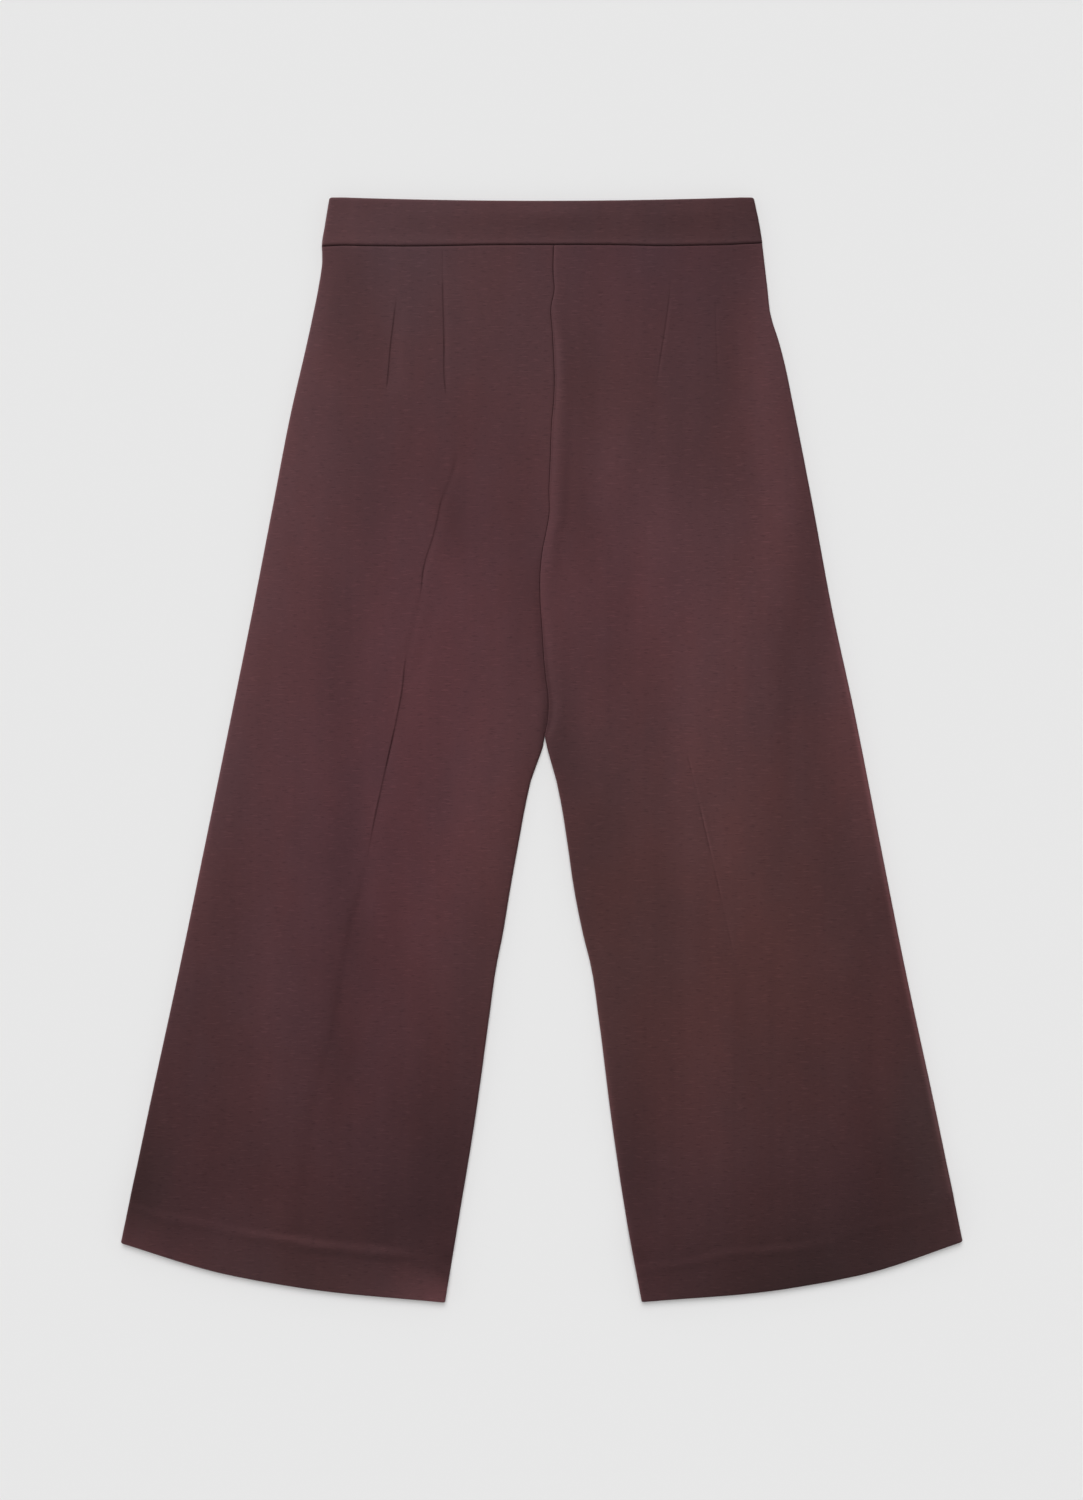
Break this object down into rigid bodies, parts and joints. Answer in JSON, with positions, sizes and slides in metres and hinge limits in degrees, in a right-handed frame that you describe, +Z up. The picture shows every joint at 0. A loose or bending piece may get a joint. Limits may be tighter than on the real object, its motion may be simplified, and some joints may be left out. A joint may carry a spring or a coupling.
{
  "type": "culottes",
  "caption": "Dark maroon wide-leg culottes laid flat with the back up: folded waistband, darts, centre-back seam, press creases and turned-up hems.",
  "frame": {"origin": "the middle of the garment's footprint, on the surface that it lies on", "axes": "+Y towards the waist, +X towards the wearer's right, +Z up out of the surface; the garment's back faces +Z"},
  "size_m": [0.6559, 0.862, 0.0057],
  "materials": {
    "cloth": "matt plain-weave suiting with fine slubs, dark maroon"
  },
  "bodies": {
    "root": {"back_left": "cloth", "back_right": "cloth", "front_left": "cloth", "front_right": "cloth", "waistband_back": "cloth", "waistband_front": "cloth"}
  },
  "joints": []
}
